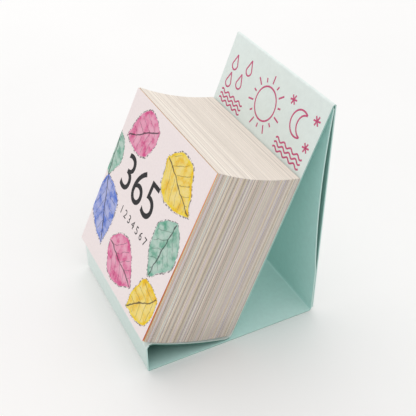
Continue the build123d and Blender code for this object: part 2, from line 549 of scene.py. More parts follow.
@dataclass(frozen=True)
class DayPrintEffect:
    """Print of a day leaf: a tinted head band, a soft disc for the number and ruled lines for notes.

    Places are shares of the leaf's width and height.
    """

    disc_middle: tuple[float, float, float] = (0.5, 0.56, 0.0)
    disc_edge: tuple[float, float] = (0.26, 0.28)
    disc_load: tuple[float, float] = (0.25, 0.6)
    patch_scale: float = 7.0
    patch_edge: tuple[float, float] = (0.3, 0.7)
    band_foot: tuple[float, float] = (0.89, 0.895)
    band_side: tuple[float, float] = (0.455, 0.46)
    band_load: float = 0.85
    rule_gap: float = 0.028
    rule_edge: tuple[float, float] = (0.0012, 0.0022)
    rule_load: float = 0.6
    rules_top: tuple[float, float] = (0.195, 0.2)
    rules_side: tuple[float, float] = (0.41, 0.415)

    def build(self) -> None:
        """Make the node group."""
        kinds = {"Paper": "Color", "UV": "Vector", "Hue": "Color"}
        w, given = start_group(EffectName.DAY_PRINT, kinds, {"Color": "Color"})
        uv = given.outputs["UV"]
        across, rise, _ = w.node("ShaderNodeSeparateXYZ", {0: uv}).outputs
        side = w.math("ABSOLUTE", w.math("SUBTRACT", across, 0.5))
        offset = w.vector("SUBTRACT", uv, self.disc_middle)
        reach = w.node("ShaderNodeVectorMath", {0: offset}, operation="LENGTH").outputs["Value"]
        patchy = w.ramp(w.noise(uv, self.patch_scale, 4.0), *self.patch_edge, *self.disc_load)
        disc = w.times(w.ramp(reach, *self.disc_edge, 1.0, 0.0), patchy)
        band = w.times(w.ramp(rise, *self.band_foot), w.ramp(side, *self.band_side, self.band_load, 0.0))
        ruled = w.ramp(w.math("PINGPONG", rise, self.rule_gap), *self.rule_edge, self.rule_load, 0.0)
        rules = w.times(ruled, w.ramp(rise, *self.rules_top, 1.0, 0.0))
        rules = w.times(rules, w.ramp(side, *self.rules_side, 1.0, 0.0))
        marks = w.math("MAXIMUM", w.math("MAXIMUM", disc, band), rules)
        tinted = w.mix(marks, given.outputs["Paper"], given.outputs["Hue"], "MULTIPLY")
        w.node("NodeGroupOutput", {"Color": tinted})


def start_group(
    name: EffectName, inputs: dict[str, str], outputs: dict[str, str]
) -> tuple[Wiring, bpy.types.Node]:
    """Start an effect's node group with named sockets.

    Args:
        name: The effect.
        inputs: Socket kinds by input name.
        outputs: Socket kinds by output name.

    Returns:
        The wiring of the group, and its input node.
    """
    tree = bpy.data.node_groups.new(name.value, "ShaderNodeTree")
    for way, sockets in (("INPUT", inputs), ("OUTPUT", outputs)):
        for socket, kind in sockets.items():
            tree.interface.new_socket(name=socket, in_out=way, socket_type=f"NodeSocket{kind}")
    wiring = Wiring(tree)
    return wiring, wiring.node("NodeGroupInput")


# Finishes


class Finish:
    """A material: each finish names itself and wires its own nodes."""

    name: str

    def wire(self, w: Wiring, shader: bpy.types.Node) -> None:
        """Link the finish's colour, roughness and relief into the shader.

        Args:
            w: The material's wiring.
            shader: Its shader.
        """
        raise NotImplementedError

    def material(self) -> bpy.types.Material:
        """Make the material, or give it if it is made already.

        Returns:
            The material.
        """
        made = bpy.data.materials.get(self.name)
        if made is None:
            made = bpy.data.materials.new(self.name)
            made.use_nodes = True
            w = Wiring(made.node_tree)
            shader = w.node("ShaderNodeBsdfPrincipled")
            w.node("ShaderNodeOutputMaterial", {"Surface": shader.outputs[0]})
            self.wire(w, shader)
        return made

    @staticmethod
    def surface(
        w: Wiring, shader: bpy.types.Node, colour: object, roughness: object, specular: float = 0.5
    ) -> None:
        """Give the shader its colour and gloss.

        Args:
            w: The wiring.
            shader: The shader.
            colour: Its colour.
            roughness: Its roughness.
            specular: Its specular level, the same all over.
        """
        w.feed(shader.inputs["Base Color"], colour)
        w.feed(shader.inputs["Roughness"], roughness)
        shader.inputs["Specular IOR Level"].default_value = specular

    @staticmethod
    def relief(w: Wiring, shader: bpy.types.Node, height: object, depth: float, strength: float) -> None:
        """Bump the surface.

        Args:
            w: The wiring.
            shader: The shader whose normal is bumped.
            height: Height from 0 to 1.
            depth: How deep the relief is, in metres.
            strength: How strong it is.
        """
        inputs = {"Height": height, "Distance": depth, "Strength": strength}
        w.feed(shader.inputs["Normal"], w.node("ShaderNodeBump", inputs).outputs[0])


@dataclass(frozen=True)
class CardFinish(Finish):
    """Matt dyed card, with a paler outer face, rubbed folds, and painted shade in its closed places, on
    shaded faces and on cut edges.

    Args:
        low: The ledge's low corner, at its foot, in metres.
        high: Its high corner.
    """

    low: Vector
    high: Vector
    name: str = "dyed_card"
    face: Colour = srgb(229, 239, 235)
    inside: Colour = srgb(194, 231, 225)
    cut: Colour = srgb(188, 219, 212)
    worn: Colour = srgb(238, 245, 242)
    # Painted shade: pocket is the colour of faces in shade in the doubled back, and nook the deep shade under
    # the ledge
    pocket: Colour = srgb(134, 178, 169)
    nook: Colour = srgb(22, 92, 78)
    cut_share: float = 0.9
    rub_tones: tuple[float, float] = (0.42, 0.6)
    rub_shares: tuple[float, float] = (0.1, 0.6)
    closed_fade: float = 6 * MM
    fibre_scale: float = 420.0
    mottle: tuple[float, float] = (0.965, 1.02)
    roughness: tuple[float, float] = (0.62, 0.5)

    def wire(self, w: Wiring, shader: bpy.types.Node) -> None:
        """Face, inside, cut edge, painted shade and folds by zone, with mottle and fibre relief.

        Args:
            w: The material's wiring.
            shader: Its shader.
        """
        place = w.by_object()
        fibre = w.fibre(place, self.fibre_scale)
        zone = w.attribute("card_zone")
        cut, fold, inner = w.node("ShaderNodeSeparateColor", {0: zone.outputs["Color"]}).outputs
        # The zone's alpha is painted shade: up to 1 it darkens the card toward the pocket colour, and past 1
        # toward the nook's deep shade; inner faces under the ledge darken as the space closes in
        shade = zone.outputs["Alpha"]
        body = w.mix(inner, self.face, self.inside)
        body = w.mix(w.times(cut, self.cut_share), body, self.cut)
        body = w.mix(shade, body, self.pocket)
        deeper = w.math("MAXIMUM", w.math("SUBTRACT", shade, 1.0), 0.0)
        is_inner = w.math("GREATER_THAN", inner, 0.0)
        closed = w.math("MULTIPLY_ADD", is_inner, self.closed_in(w, place), deeper)
        body = w.mix(closed, body, self.nook)
        rubbed = w.times(fold, w.ramp(fibre.outputs["Tone"], *self.rub_tones, *self.rub_shares))
        body = w.tinted(w.mix(rubbed, body, self.worn), w.toned(fibre, *self.mottle))
        self.surface(w, shader, body, w.toned(fibre, *self.roughness), specular=0.35)
        self.relief(w, shader, fibre.outputs["Height"], depth=0.03 * MM, strength=0.35)

    def closed_in(self, w: Wiring, place: object) -> bpy.types.NodeSocket:
        """Say how closed in the card is under the ledge, where the space is low for its depth; this sets how
        deep the painted shade there is.

        Args:
            w: The material's wiring.
            place: The place on the object.

        Returns:
            The share, from 0 in the open to 1.
        """
        across, along, _ = w.node("ShaderNodeSeparateXYZ", {0: place}).outputs
        depth = w.math("SUBTRACT", self.high.x, w.math("ABSOLUTE", across))
        room = w.ramp(along, self.low.y, self.high.y, self.high.z, 2 * self.low.z)
        closed = w.math("MINIMUM", w.math("DIVIDE", depth, room), 1.0)
        return w.times(closed, w.ramp(along, self.high.y - self.closed_fade, self.high.y, 1.0, 0.0))


@dataclass(frozen=True)
class LeafFinish(Finish):
    """Thin uncoated leaves, tinted leaf by leaf at their trimmed edges, with the day print on their faces."""

    lean: float
    hue: Colour
    name: str
    streak_scale: tuple[float, float, float] = (300.0, 5200.0, 26.0)
    streak_tones: tuple[float, float] = (0.25, 0.75)
    streak_shades: tuple[float, float] = (0.9, 1.14)
    fibre_scale: float = 700.0
    roughness: tuple[float, float] = (0.82, 0.7)
    foot_reach: float = 0.2
    foot_shade: float = 0.86

    def wire(self, w: Wiring, shader: bpy.types.Node) -> None:
        """Edge tint from the leaf, streaks along it, and the print where a face shows.

        Args:
            w: The material's wiring.
            shader: Its shader.
        """
        place = w.by_object()
        upright = w.node("ShaderNodeMapping", {"Vector": place, "Rotation": (self.lean, 0, 0)}).outputs[0]
        streak = w.noise(w.vector("MULTIPLY", upright, self.streak_scale), 1.0, 3.0)
        fibre = w.fibre(place, self.fibre_scale)
        tint = w.attribute("leaf_tint")
        uv = w.by_leaf()
        rise = w.node("ShaderNodeSeparateXYZ", {0: uv}).outputs[1]
        edge = w.tinted(tint.outputs["Color"], w.ramp(streak, *self.streak_tones, *self.streak_shades))
        # The edges darken toward the leaf's foot
        edge = w.tinted(edge, w.ramp(rise, 0.0, self.foot_reach, self.foot_shade, 1.0))
        face = w.group(EffectName.DAY_PRINT, {"Paper": tint.outputs["Color"], "UV": uv, "Hue": self.hue})
        body = w.mix(tint.outputs["Alpha"], edge, face.outputs[0])
        self.surface(w, shader, body, w.toned(fibre, *self.roughness), specular=0.25)
        height = w.math("ADD", streak, fibre.outputs["Height"])
        self.relief(w, shader, height, depth=0.04 * MM, strength=0.3)


@dataclass(frozen=True)
class FilmFinish(Finish):
    """Dried binding glue: a thin milky film that follows the leaves' heads and lets their tints through."""

    name: str = "dried_glue"
    brush_scale: tuple[float, float, float] = (30.0, 2600.0, 2600.0)
    brush_tones: tuple[float, float] = (0.25, 0.75)
    brush_shades: tuple[float, float] = (0.95, 1.03)
    roughness: tuple[float, float] = (0.66, 0.5)

    def wire(self, w: Wiring, shader: bpy.types.Node) -> None:
        """Tint by leaf, with brush marks along the pad's width.

        Args:
            w: The material's wiring.
            shader: Its shader.
        """
        brushed = w.noise(w.vector("MULTIPLY", w.by_object(), self.brush_scale), 1.0, 4.0)
        tint = w.attribute("leaf_tint").outputs["Color"]
        body = w.tinted(tint, w.ramp(brushed, *self.brush_tones, *self.brush_shades))
        gloss = w.ramp(brushed, *w.usual_tones, *self.roughness)
        self.surface(w, shader, body, gloss, specular=0.3)
        self.relief(w, shader, brushed, depth=0.05 * MM, strength=0.4)


@dataclass(frozen=True)
class PaintedLeaf:
    """One leaf painted on the cover, with sizes in millimetres from the cover's lower left corner."""

    x: float
    y: float
    degrees: float
    length: float
    width: float
    pigment: Colour
    deep: Colour


PINK = (srgb(240, 140, 188), srgb(222, 76, 146))
BLUE = (srgb(138, 168, 244), srgb(60, 114, 226))
GOLD = (srgb(255, 236, 0), srgb(248, 206, 0))
GREEN = (srgb(156, 216, 196), srgb(88, 176, 146))


@dataclass(frozen=True)
class CoverFinish(Finish):
    """Smooth off-white cover paper, painted with loose leaves in four colours."""

    width: float
    height: float
    name: str = "painted_cover"
    paper: Colour = srgb(243, 231, 230)
    ink: Colour = srgb(46, 42, 48)
    fibre_scale: float = 0.9
    mottle: tuple[float, float] = (0.97, 1.02)
    roughness: tuple[float, float] = (0.62, 0.52)
    leaves: tuple[PaintedLeaf, ...] = (
        PaintedLeaf(59.5, 66.5, 24.0, 16.5, 12.0, *GOLD),
        PaintedLeaf(19.0, 69.5, 150.0, 15.0, 10.5, *PINK),
        PaintedLeaf(67.0, 39.0, 100.0, 16.0, 11.0, *GREEN),
        PaintedLeaf(11.0, 24.0, 62.0, 17.0, 12.0, *BLUE),
        PaintedLeaf(41.0, 14.0, 12.0, 16.0, 11.5, *PINK),
        PaintedLeaf(68.0, 11.5, 138.0, 13.5, 10.0, *GOLD),
        PaintedLeaf(1.5, 50.0, 84.0, 12.0, 8.0, *GREEN),
    )

    def wire(self, w: Wiring, shader: bpy.types.Node) -> None:
        """Paint the leaves over the paper one after the other.

        Args:
            w: The material's wiring.
            shader: Its shader.
        """
        place = w.vector("MULTIPLY", w.by_leaf(), (self.width / MM, self.height / MM, 0.0))
        fibre = w.fibre(place, self.fibre_scale)
        colour = w.tinted(self.paper, w.toned(fibre, *self.mottle))
        for leaf in self.leaves:
            inputs = {
                "Under": colour, "Place": place, "Centre": (leaf.x, leaf.y, 0.0),
                "Turn": math.radians(leaf.degrees), "Length": leaf.length, "Width": leaf.width,
                "Pigment": leaf.pigment, "Deep": leaf.deep, "Ink": self.ink,
            }
            colour = w.group(EffectName.WASH, inputs).outputs[0]
        self.surface(w, shader, colour, w.toned(fibre, *self.roughness), specular=0.3)
        self.relief(w, shader, fibre.outputs["Height"], depth=0.02 * MM, strength=0.25)


@dataclass(frozen=True)
class DaySheetFinish(Finish):
    """A printed day leaf whose colour runs off the sheet, so that its cut edge shows it."""

    name: str
    ground: Colour
    hue: Colour
    fibre_scale: float = 60.0
    mottle: tuple[float, float] = (0.9, 1.06)
    roughness: tuple[float, float] = (0.8, 0.68)

    def wire(self, w: Wiring, shader: bpy.types.Node) -> None:
        """A painted ground with the day print over it.

        Args:
            w: The material's wiring.
            shader: Its shader.
        """
        uv = w.by_leaf()
        fibre = w.fibre(uv, self.fibre_scale)
        flood = w.tinted(self.ground, w.toned(fibre, *self.mottle))
        face = w.group(EffectName.DAY_PRINT, {"Paper": flood, "UV": uv, "Hue": self.hue})
        self.surface(w, shader, face.outputs[0], w.toned(fibre, *self.roughness), specular=0.25)
        self.relief(w, shader, fibre.outputs["Height"], depth=0.02 * MM, strength=0.25)


@dataclass(frozen=True)
class BackPaperFinish(Finish):
    """Unprinted back of a loose sheet."""

    name: str
    paper: Colour
    fibre_scale: float = 60.0
    mottle: tuple[float, float] = (0.96, 1.02)
    roughness: tuple[float, float] = (0.8, 0.68)

    def wire(self, w: Wiring, shader: bpy.types.Node) -> None:
        """Plain paper with its fibre.

        Args:
            w: The material's wiring.
            shader: Its shader.
        """
        fibre = w.fibre(w.by_leaf(), self.fibre_scale)
        body = w.tinted(self.paper, w.toned(fibre, *self.mottle))
        self.surface(w, shader, body, w.toned(fibre, *self.roughness), specular=0.25)
        self.relief(w, shader, fibre.outputs["Height"], depth=0.02 * MM, strength=0.25)


@dataclass(frozen=True)
class InkFinish(Finish):
    """Printing ink on paper, thinner where the paper's tooth shows through."""

    name: str
    ink: Colour
    thin: Colour
    fibre_scale: float = 900.0
    tooth_tones: tuple[float, float] = (0.5, 0.68)
    thinned: tuple[float, float] = (0.0, 0.6)
    roughness: tuple[float, float] = (0.62, 0.5)

    def wire(self, w: Wiring, shader: bpy.types.Node) -> None:
        """Ink that thins over the fibre.

        Args:
            w: The material's wiring.
            shader: Its shader.
        """
        fibre = w.fibre(w.by_object(), self.fibre_scale)
        tooth = w.ramp(fibre.outputs["Tone"], *self.tooth_tones, *self.thinned)
        body = w.mix(tooth, self.ink, self.thin)
        self.surface(w, shader, body, w.toned(fibre, *self.roughness), specular=0.3)


@dataclass(frozen=True)
class BoardFinish(Finish):
    """Grey-brown chipboard of the pad's backing, flecked with recycled fibre."""

    name: str = "backing_board"
    board: Colour = srgb(206, 196, 178)
    fleck: Colour = srgb(150, 138, 120)
    fibre_scale: float = 500.0
    fleck_scale: float = 2600.0
    fleck_tones: tuple[float, float] = (0.64, 0.7)
    flecked: tuple[float, float] = (0.0, 0.8)
    mottle: tuple[float, float] = (0.88, 1.06)
    roughness: tuple[float, float] = (0.88, 0.76)

    def wire(self, w: Wiring, shader: bpy.types.Node) -> None:
        """Mottled board with dark flecks.

        Args:
            w: The material's wiring.
            shader: Its shader.
        """
        place = w.by_object()
        fibre = w.fibre(place, self.fibre_scale)
        flecks = w.ramp(w.noise(place, self.fleck_scale), *self.fleck_tones, *self.flecked)
        body = w.tinted(w.mix(flecks, self.board, self.fleck), w.toned(fibre, *self.mottle))
        self.surface(w, shader, body, w.toned(fibre, *self.roughness))
        self.relief(w, shader, fibre.outputs["Height"], depth=0.05 * MM, strength=0.4)


@dataclass(frozen=True)
class TapeFinish(Finish):
    """Milky double-sided tape with faint ripples and trapped air."""

    name: str = "milky_tape"
    film: Colour = srgb(236, 231, 218)
    air: Colour = srgb(248, 246, 240)
    ripple_scale: tuple[float, float, float] = (120.0, 900.0, 900.0)
    blister_scale: float = 420.0
    blister_tones: tuple[float, float] = (0.58, 0.66)
    roughness: tuple[float, float] = (0.42, 0.26)

    def wire(self, w: Wiring, shader: bpy.types.Node) -> None:
        """Film with paler blisters.

        Args:
            w: The material's wiring.
            shader: Its shader.
        """
        place = w.by_object()
        ripple = w.noise(w.vector("MULTIPLY", place, self.ripple_scale), 1.0, 3.0)
        blister = w.ramp(w.noise(place, self.blister_scale), *self.blister_tones)
        body = w.mix(blister, self.film, self.air)
        self.surface(w, shader, body, w.ramp(ripple, *w.usual_tones, *self.roughness))
        self.relief(w, shader, ripple, depth=0.03 * MM, strength=0.3)


BLACK_INK = InkFinish("black_ink", srgb(22, 20, 24), srgb(46, 42, 47))
PINK_INK = InkFinish("dark_pink_ink", srgb(206, 88, 128), srgb(218, 130, 162))


# The folded card stand


@dataclass(frozen=True)
class PanelTone:
    """How much painted shade a panel's card takes, and how much of the inner colour.

    Args:
        inner: How much of the inner colour its inside takes.
        inside: Painted shade on its inside.
        cut: Painted shade on its cut edge.
        left: Painted shade on its outer face's left end.
        right: Painted shade on its outer face's right end.
        pocket: The way that its face in the doubled back looks, if it has one; that face takes the pocket's
            painted shade.
    """

    inner: float = 1.0
    inside: float = 0.0
    cut: float = 0.0
    left: float = 0.0
    right: float = 0.0
    pocket: tuple[float, float, float] | None = None

    def shade(self, is_cut: bool, is_inner: bool, normal: Vector, across: float) -> float:
        """Give the painted shade at a corner of a face.

        Args:
            is_cut: Whether the face is the cut edge.
            is_inner: Whether it is the inner face.
            normal: The way that it looks.
            across: Where the corner is, from 0 at the left to 1 at the right.

        Returns:
            The painted shade: 1 is the pocket's shade colour, and past that it deepens to the nook's deep
                shade.
        """
        if is_cut:
            return self.cut
        if self.pocket is not None and normal.dot(self.pocket) > FACING:
            return 1.0
        return self.inside if is_inner else self.left + (self.right - self.left) * across


# Painted shade by panel: darker cut edges on the base, ledge and easel, the lip darker toward its right, the
# ledge's top face, a darker inside on the inner back, and the faces in the doubled back
PANEL_TONES = {
    "base_panel": PanelTone(inner=0.75, cut=0.6),
    "front_lip": PanelTone(left=0.08, right=0.28),
    "ledge_panel": PanelTone(cut=1.8, left=0.1, right=0.25),
    "easel_panel": PanelTone(cut=0.7),
    "inner_back_panel": PanelTone(inside=0.3, pocket=(0, 1, 0)),
    "outer_back_panel": PanelTone(pocket=(0, -1, 0)),
}

# The way that the outer face of each plain panel looks
PANEL_OUTWARD = {
    "base_panel": Vector((0, 0, -1)),
    "front_lip": Vector((0, -1, 0)),
    "ledge_panel": Vector((0, 0, 1)),
    "inner_back_panel": Vector((0, 1, 0)),
}


@dataclass
class CardStand:
    """The stand: one strip of card, creased into panels, with the outer back hanging from its top fold."""

    finish: CardFinish
    edge_bevel: float = 0.06 * MM
    cut_clear: float = 0.004 * MM
    fold_facet: float = 0.6 * MM
    fold_steps: int = 14
    end_reach: float = 0.01 * MM
    flat_degrees: float = 0.2
    cut_facing: float = 0.4
    back_cuts: int = 8

    def build(self, axes: PadAxes) -> list[bpy.types.Object]:
        """Model every panel of the stand.

        Args:
            axes: The pad's directions, which the easel shares.

        Returns:
            The panels.
        """
        panels = [self.finished(self.copied(node), way, node) for node, way in PANEL_OUTWARD.items()]
        panels += [self.easel(axes), self.top_fold(axes), self.outer_back()]
        return panels

    def copied(self, node: str) -> bpy.types.Object:
        """Copy a panel's solid as one clean mesh with whole faces.

        Args:
            node: The CAD node.

        Returns:
            The new piece.
        """
        mesh = frame["nodes"][node].data.copy()
        mesh.materials.clear()
        piece = bpy.data.objects.new(f"{node}_card", mesh)
        bpy.context.scene.collection.objects.link(piece)
        Bench.focus(piece)
        bpy.ops.mesh.customdata_custom_splitnormals_clear()
        with Bench.editing(piece, Pick.VERTICES):
            bpy.ops.mesh.remove_doubles(threshold=WELD)
            bpy.ops.mesh.dissolve_limited(angle_limit=math.radians(self.flat_degrees))
        return piece

    def soften(self, piece: bpy.types.Object) -> None:
        """Round the card's cut outline by a hair.

        Args:
            piece: The panel.
        """
        end = max(vertex.co.x for vertex in piece.data.vertices) - self.end_reach
        with Bench.editing(piece, Pick.EDGES, lambda edge: self.is_past(piece, edge, end)):
            bpy.ops.mesh.bevel(offset=self.edge_bevel, segments=2, affect="EDGES")
        Bench.smooth(piece)

    @staticmethod
    def is_past(piece: bpy.types.Object, edge: bpy.types.MeshEdge, end: float) -> bool:
        """Say whether an edge lies on the cut at the card's left or right end."""
        first, second = (piece.data.vertices[i].co.x for i in edge.vertices)
        return min(first, second) > end or max(first, second) < -end

    def zone(self, piece: bpy.types.Object, outward: Vector, tone: PanelTone = PanelTone()) -> None:
        """Mark the cut edge, the folds, the inner face and the painted shade for the finish.

        Args:
            piece: The panel.
            outward: The way that the panel's outer face looks.
            tone: Its painted shade.
        """
        mesh = piece.data
        half = max(vertex.co.x for vertex in mesh.vertices)
        zones = mesh.color_attributes.new("card_zone", "FLOAT_COLOR", "CORNER")
        for face in mesh.polygons:
            points = [mesh.vertices[i].co for i in face.vertices]
            run = max((a.yz - b.yz).length for a in points for b in points)
            cut = abs(face.normal.x) > self.cut_facing
            inner = not cut and face.normal.dot(outward) < 0
            fold = not cut and not inner and run < self.fold_facet
            for loop in face.loop_indices:
                across = mesh.vertices[mesh.loops[loop].vertex_index].co.x / half / 2 + 0.5
                # The alpha channel carries the painted shade
                shade = tone.shade(cut, inner, face.normal, across)
                zones.data[loop].color = (float(cut), float(fold), tone.inner * inner, shade)

    def finished(
        self, piece: bpy.types.Object, outward: Vector, node: str, body: str = "stand"
    ) -> bpy.types.Object:
        """Soften, zone and dress a panel, and let it stand for its node on its body.

        Args:
            piece: The panel.
            outward: The way that its outer face looks.
            node: The node.
            body: The body.

        Returns:
            The panel.
        """
        self.soften(piece)
        self.zone(piece, outward, PANEL_TONES[node])
        piece.data.materials.append(self.finish.material())
        return stand_for(piece, node, body)

    @property
    def apex(self) -> Vector:
        """The top fold's axis, which the outer back swings about."""
        joints = {joint["name"]: joint for joint in frame["joints"]}
        return Vector(joints["back_flap_swing"]["pos_m"])

    @property
    def card(self) -> float:
        """Thickness of the card."""
        low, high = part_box("outer_back_panel")
        return high.y - low.y

    @property
    def fold_radius(self) -> float:
        """Outer radius of the top fold."""
        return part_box("easel_panel")[1].z - self.apex.z

    def easel(self, axes: PadAxes) -> bpy.types.Object:
        """Model the easel without the roll at its head, which the top fold stands for.

        Args:
            axes: The pad's directions.

        Returns:
            The easel.
        """
        piece = self.copied("easel_panel")
        rear = self.apex + axes.out * (self.fold_radius - self.card - self.cut_clear)
        for place, way in ((self.apex, axes.up), (rear, -axes.out)):
            with Bench.editing(piece, Pick.VERTICES):
                cut = {"plane_co": place, "plane_no": way, "threshold": WELD}
                bpy.ops.mesh.bisect(**cut, use_fill=True, clear_outer=True)
        return self.finished(piece, axes.out, "easel_panel")

    def top_fold(self, axes: PadAxes) -> bpy.types.Object:
        """Model the card bent over from the easel to the outer back.

        Args:
            axes: The pad's directions.

        Returns:
            The fold.
        """
        low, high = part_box("easel_panel")
        middle = self.apex + axes.out * (self.fold_radius - self.card / 2)
        piece = Bench.added(bpy.ops.mesh.primitive_plane_add, "top_fold_card", size=1.0)
        turned = Matrix((RIGHT, axes.out, axes.up)).transposed().to_4x4()
        piece.matrix_world = Matrix.Translation(middle) @ turned
        piece.scale = (high.x - low.x, self.card, 1.0)
        Bench.settle(piece)
        turn = math.pi - axes.lean
        with Bench.editing(piece, Pick.VERTICES):
            bpy.ops.mesh.spin(steps=self.fold_steps, angle=turn, center=self.apex, axis=RIGHT)
            bpy.ops.mesh.select_all(action="SELECT")
            bpy.ops.mesh.remove_doubles(threshold=WELD)
            bpy.ops.mesh.normals_make_consistent(inside=False)
        self.soften(piece)
        self.zone(piece, Vector((0, 0, 1)))
        piece.data.materials.append(self.finish.material())
        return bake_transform(piece)

    def outer_back(self) -> bpy.types.Object:
        """Model the outer back, which hangs from the fold.

        Returns:
            The outer back.
        """
        low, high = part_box("outer_back_panel")
        high.z = self.apex.z
        piece = Bench.added(
            bpy.ops.mesh.primitive_cube_add, "outer_back_panel_card",
            size=1.0, location=(low + high) / 2, scale=high - low,
        )
        Bench.settle(piece)
        with Bench.editing(piece, Pick.EDGES, lambda edge: self.is_upright(piece, edge)):
            bpy.ops.mesh.subdivide(number_cuts=self.back_cuts)
        return self.finished(piece, Vector((0, 1, 0)), "outer_back_panel", "back_flap")

    @staticmethod
    def is_upright(piece: bpy.types.Object, edge: bpy.types.MeshEdge) -> bool:
        """Say whether an edge runs up the piece."""
        first, second = (piece.data.vertices[i].co for i in edge.vertices)
        return abs(first.z - second.z) > abs(first.x - second.x) + abs(first.y - second.y)


# The pad of leaves


class EdgeTint(Enum):
    """Tints of a trimmed leaf edge, from the print that runs off the leaf."""

    BEIGE = srgb(219, 206, 194)
    CREAM = srgb(233, 224, 212)
    TAUPE = srgb(201, 189, 178)
    STONE = srgb(207, 203, 191)
    MAUVE = srgb(208, 199, 203)
    WHITE = srgb(246, 241, 235)
    SHADE = srgb(160, 148, 139)
    LAVENDER = srgb(197, 189, 209)
    ROSE = srgb(224, 201, 195)
    STRAW = srgb(222, 210, 176)
    MINT = srgb(190, 201, 194)
    RED = srgb(240, 112, 70)
    ORANGE = srgb(250, 176, 110)
    YELLOW = srgb(244, 216, 132)


# Shares of the plain bundles of leaves, and of the thin bright ones between them
PLAIN_SHARES = {
    EdgeTint.BEIGE: 0.38,
    EdgeTint.CREAM: 0.16,
    EdgeTint.TAUPE: 0.20,
    EdgeTint.STONE: 0.14,
    EdgeTint.MAUVE: 0.12,
}
ACCENT_SHARES = {
    EdgeTint.WHITE: 0.26,
    EdgeTint.SHADE: 0.18,
    EdgeTint.LAVENDER: 0.18,
    EdgeTint.ROSE: 0.16,
    EdgeTint.STRAW: 0.14,
    EdgeTint.MINT: 0.08,
}

# Leaves of the year's first days, from the front of the foremost block backwards
FRONT_TINTS = (
    EdgeTint.ORANGE, EdgeTint.YELLOW, EdgeTint.SHADE, EdgeTint.STRAW, EdgeTint.CREAM,
    EdgeTint.WHITE, EdgeTint.SHADE, EdgeTint.ROSE, EdgeTint.CREAM, EdgeTint.TAUPE,
    EdgeTint.ORANGE, EdgeTint.ROSE, EdgeTint.BEIGE,
)

MONTH_DAYS = {
    "december": 31, "november": 30, "october": 31, "september": 30, "august": 31, "july": 31,
    "june": 30, "may": 31, "april": 30, "march": 31, "february": 28, "january": 31,
}
LOOSE_LEAVES = 2
LEAF_SEED = 365
GLUE_TINT = srgb(239, 230, 220)

# How light each month's leaf edges are, from the rear month to the front one
MONTH_TONES = (0.84, 0.86, 0.95, 1.0, 1.0, 1.0, 1.0, 1.02, 1.05, 1.05, 0.98, 0.96)

MONTH_HUES = (
    srgb(196, 206, 232), srgb(232, 200, 176), srgb(226, 190, 204), srgb(238, 222, 160),
    srgb(190, 216, 206), srgb(176, 204, 228), srgb(206, 222, 176), srgb(214, 200, 226),
    srgb(240, 206, 196), srgb(198, 222, 190), srgb(232, 192, 200), srgb(240, 180, 140),
)


@dataclass
class LeafRow:
    """One leaf of the pad: its tint and how it lies among its neighbours."""

    tint: Colour
    shift: float
    lift: float
    bow: float


@dataclass
class LeafJogger:
    """Jogs the leaves of a block as a stack settles: in small bundles, a little askew of each other."""

    random: random.Random
    plain_bundle: tuple[int, int] = (1, 6)
    accent_bundle: tuple[int, int] = (1, 3)
    accent_chance: float = 0.45
    bundle_shift: float = 0.07 * MM
    leaf_shift: float = 0.03 * MM
    most_shift: float = 0.16 * MM
    leaf_lift: float = 0.08 * MM
    bundle_bow: float = 0.008 * MM
    bundle_shade: float = 0.07
    leaf_shade: float = 0.06

    def rows(self, leaves: int, tone: float, front: tuple[EdgeTint, ...] = ()) -> list[LeafRow]:
        """Lay out a block's leaves from back to front.

        Args:
            leaves: How many there are.
            tone: How light they are, against the usual leaf.
            front: Tints of the foremost leaves, from the front backwards.

        Returns:
            One row per leaf.
        """
        made: list[LeafRow] = []
        while len(made) < leaves:
            accent = self.random.random() < self.accent_chance
            shares = ACCENT_SHARES if accent else PLAIN_SHARES
            tint = self.random.choices(list(shares), list(shares.values()))[0].value
            shift = self.random.gauss(0, self.bundle_shift)
            bow = self.random.gauss(0, self.bundle_bow)
            shade = tone + self.random.gauss(0, self.bundle_shade)
            for _ in range(self.random.randint(*(self.accent_bundle if accent else self.plain_bundle))):
                made.append(self.leaf(tint, shade, shift, bow))
        rows = made[:leaves]
        for row, tint in zip(reversed(rows), front):
            row.tint = tint.value
        return rows

    def leaf(self, tint: Colour, shade: float, shift: float, bow: float) -> LeafRow:
        """Lay one leaf in its bundle, a little off it.

        Args:
            tint: The bundle's tint.
            shade: How light the bundle is.
            shift: How far the bundle lies to the right.
            bow: How far it bows out.

        Returns:
            The leaf.
        """
        own = shift + self.random.gauss(0, self.leaf_shift)
        shade += self.random.gauss(0, self.leaf_shade)
        toned = tuple(min(1.0, channel * shade) for channel in tint[:3])
        shift = max(-self.most_shift, min(self.most_shift, own))
        return LeafRow((*toned, 1.0), shift, self.random.uniform(0, self.leaf_lift), bow)


